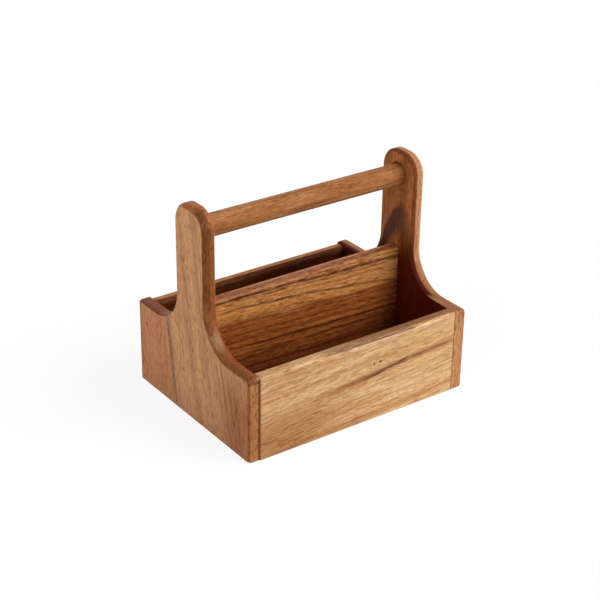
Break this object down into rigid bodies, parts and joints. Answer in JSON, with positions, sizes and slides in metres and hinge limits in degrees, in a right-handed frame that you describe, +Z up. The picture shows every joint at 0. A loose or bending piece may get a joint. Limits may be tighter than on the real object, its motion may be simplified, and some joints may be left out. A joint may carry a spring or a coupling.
{
  "type": "table caddy",
  "caption": "Wooden table caddy with two open compartments, a tall divider and a round carrying rail between shaped end panels.",
  "frame": {"origin": "middle of the underside, between the feet of the two end panels", "axes": "+X along the carrying rail, +Y from the front board to the back board, +Z up"},
  "size_m": [0.255, 0.1924, 0.223],
  "materials": {
    "end_panel_wood": "oiled hardwood, satin",
    "board_wood": "oiled hardwood, satin",
    "divider_wood": "oiled hardwood with dark streaks, satin",
    "rail_wood": "turned and oiled hardwood, satin",
    "base_wood": "oiled hardwood, satin",
    "pin_wood": "plain light hardwood, unfinished"
  },
  "bodies": {
    "root": {"end_panel_left": "end_panel_wood", "end_panel_right": "end_panel_wood", "front_board": "board_wood", "back_board": "board_wood", "divider_board": "divider_wood", "base_panel": "base_wood", "handle_rail": "rail_wood", "pin_front_left_low": "pin_wood", "pin_front_left_high": "pin_wood", "pin_front_right_low": "pin_wood", "pin_front_right_high": "pin_wood", "pin_back_left_low": "pin_wood", "pin_back_left_high": "pin_wood", "pin_back_right_low": "pin_wood", "pin_back_right_high": "pin_wood", "pin_divider_left_low": "pin_wood", "pin_divider_left_high": "pin_wood", "pin_divider_right_low": "pin_wood", "pin_divider_right_high": "pin_wood"}
  },
  "joints": []
}
